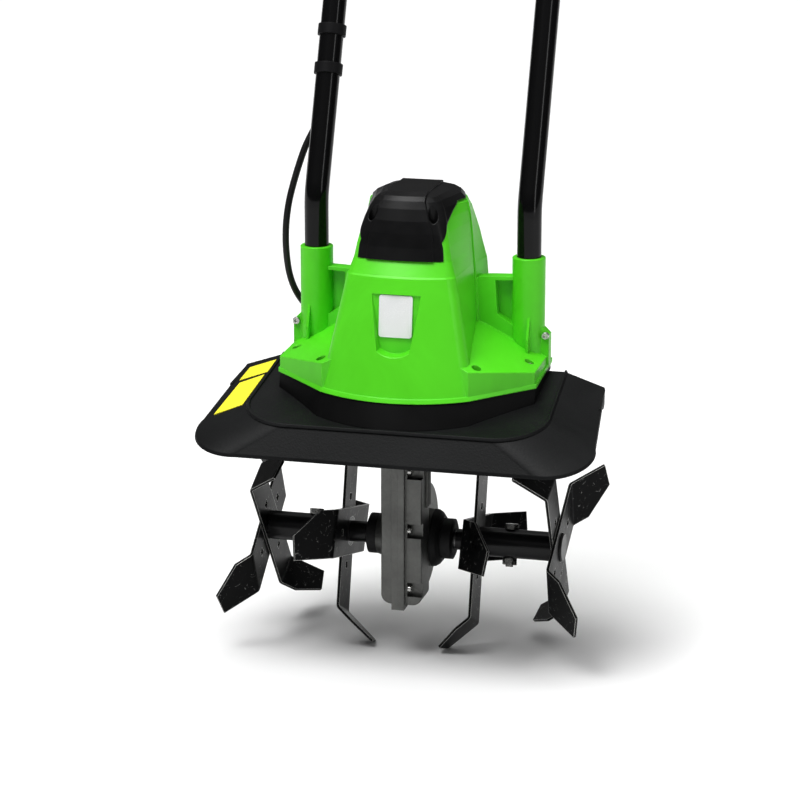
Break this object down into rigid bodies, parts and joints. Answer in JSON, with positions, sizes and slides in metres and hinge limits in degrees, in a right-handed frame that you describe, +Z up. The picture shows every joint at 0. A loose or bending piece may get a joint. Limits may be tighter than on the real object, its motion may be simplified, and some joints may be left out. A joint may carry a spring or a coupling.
{
  "type": "electric tiller",
  "caption": "Electric garden tiller with folding tube handle, guard deck, motor tower, worm gear case and bent-blade tine sets.",
  "frame": {"origin": "on the ground under the middle of the whole machine's box", "axes": "+Z up, the front faces -Y, the operator stands at +Y, X runs across the machine"},
  "size_m": [0.436, 0.4005, 1.0533],
  "materials": {
    "green_plastic": "satin moulded plastic, bright green",
    "black_plastic": "satin black plastic",
    "charcoal_plastic": "matt charcoal plastic",
    "tube_paint": "gloss black paint on steel tube",
    "tine_steel": "black painted steel",
    "case_metal": "dull cast aluminium",
    "steel": "machined steel",
    "zinc": "zinc-plated screws",
    "bronze": "bronze",
    "copper": "enamelled copper winding",
    "carbon": "carbon",
    "foam": "matt black foam",
    "lead_rubber": "black rubber sheath",
    "seal_rubber": "black rubber",
    "badge_white": "plain white plate",
    "label_yellow": "plain yellow sticker",
    "red_plastic": "red plastic"
  },
  "bodies": {
    "machine": {"gear_case_left": "case_metal", "gear_case_right": "case_metal", "gear_case_screws": "zinc", "axle_bushes": "bronze", "seal_cup_left": "seal_rubber", "seal_cup_right": "seal_rubber", "bearing_cover_right": "charcoal_plastic", "guard_deck": "charcoal_plastic", "base_ring": "black_plastic", "housing_front": "green_plastic", "housing_rear": "green_plastic", "top_cap": "black_plastic", "badge_plate": "badge_white", "guard_labels": "label_yellow", "housing_screws": "zinc", "lower_tube_left": "tube_paint", "lower_tube_right": "tube_paint", "motor_lead_lower": "lead_rubber", "lead_clips_lower": "charcoal_plastic", "stator_core": "steel", "field_coils": "copper", "brush_holders": "bronze", "carbon_brushes": "carbon", "motor_bearings": "steel", "motor_plate": "case_metal", "brush_bridge": "charcoal_plastic", "worm_bearings": "steel", "pivot_bolts": "zinc", "pivot_saddles": "charcoal_plastic"},
    "handle": {"upper_handle": "tube_paint", "foam_grip": "foam", "switch_base": "black_plastic", "switch_cover": "black_plastic", "inlet_pins": "bronze", "micro_switch": "charcoal_plastic", "bail_bracket": "black_plastic", "motor_lead_upper": "lead_rubber", "lead_clips_upper": "charcoal_plastic"},
    "bail": {"bail_lever": "tine_steel"},
    "button": {"lock_button": "red_plastic"},
    "knob_left": {"star_knob_left": "black_plastic"},
    "knob_right": {"star_knob_right": "black_plastic"},
    "tines": {"tine_shaft": "steel", "worm_wheel": "bronze", "wheel_key": "steel", "tine_inner_left": "tine_steel", "tine_inner_right": "tine_steel", "tine_outer_left": "tine_steel", "tine_outer_right": "tine_steel", "hub_sleeve_left": "tine_steel", "hub_sleeve_right": "tine_steel", "hub_bolts": "zinc"},
    "worm": {"worm_shaft": "steel", "reduction_gear": "steel"},
    "rotor": {"rotor_shaft": "steel", "armature_stack": "steel", "armature_windings": "copper", "commutator": "copper", "cooling_fan": "black_plastic"}
  },
  "joints": [
    {"name": "handle_fold", "type": "hinge", "parent": "machine", "child": "handle", "pos_m": [0, 0.05458, 0.69935], "axis": [1, 0, 0], "range_deg": [0, 144]},
    {"name": "bail_squeeze", "type": "hinge", "parent": "handle", "child": "bail", "pos_m": [0, 0.14365, 0.97044], "axis": [-1, 0, 0], "range_deg": [0, 25], "stiffness_Nm_per_rad": 0.6, "springref_deg": -20.05},
    {"name": "lock_button_press", "type": "slide", "parent": "handle", "child": "button", "axis": [-1, 0, 0], "range_m": [0, 0.0037], "stiffness_N_per_m": 300, "springref_m": -0.002},
    {"name": "knob_left_turn", "type": "hinge", "parent": "machine", "child": "knob_left", "pos_m": [-0.1255, 0.05458, 0.69935], "axis": [-1, 0, 0], "continuous": true},
    {"name": "knob_right_turn", "type": "hinge", "parent": "machine", "child": "knob_right", "pos_m": [0.1255, 0.05458, 0.69935], "axis": [1, 0, 0], "continuous": true},
    {"name": "tine_spin", "type": "hinge", "parent": "machine", "child": "tines", "pos_m": [0, -0.07301, 0.11796], "axis": [1, 0, 0], "continuous": true},
    {"name": "worm_spin", "type": "hinge", "parent": "machine", "child": "worm", "pos_m": [0, -0.11301, 0.11796], "axis": [0, 0, 1], "continuous": true},
    {"name": "rotor_spin", "type": "hinge", "parent": "machine", "child": "rotor", "pos_m": [0, -0.08101, 0.30196], "axis": [0, 0, 1], "continuous": true}
  ],
  "couplings": [
    {"joint": "worm_spin", "follows": "tine_spin", "ratio": 16},
    {"joint": "rotor_spin", "follows": "tine_spin", "ratio": -57.143}
  ]
}
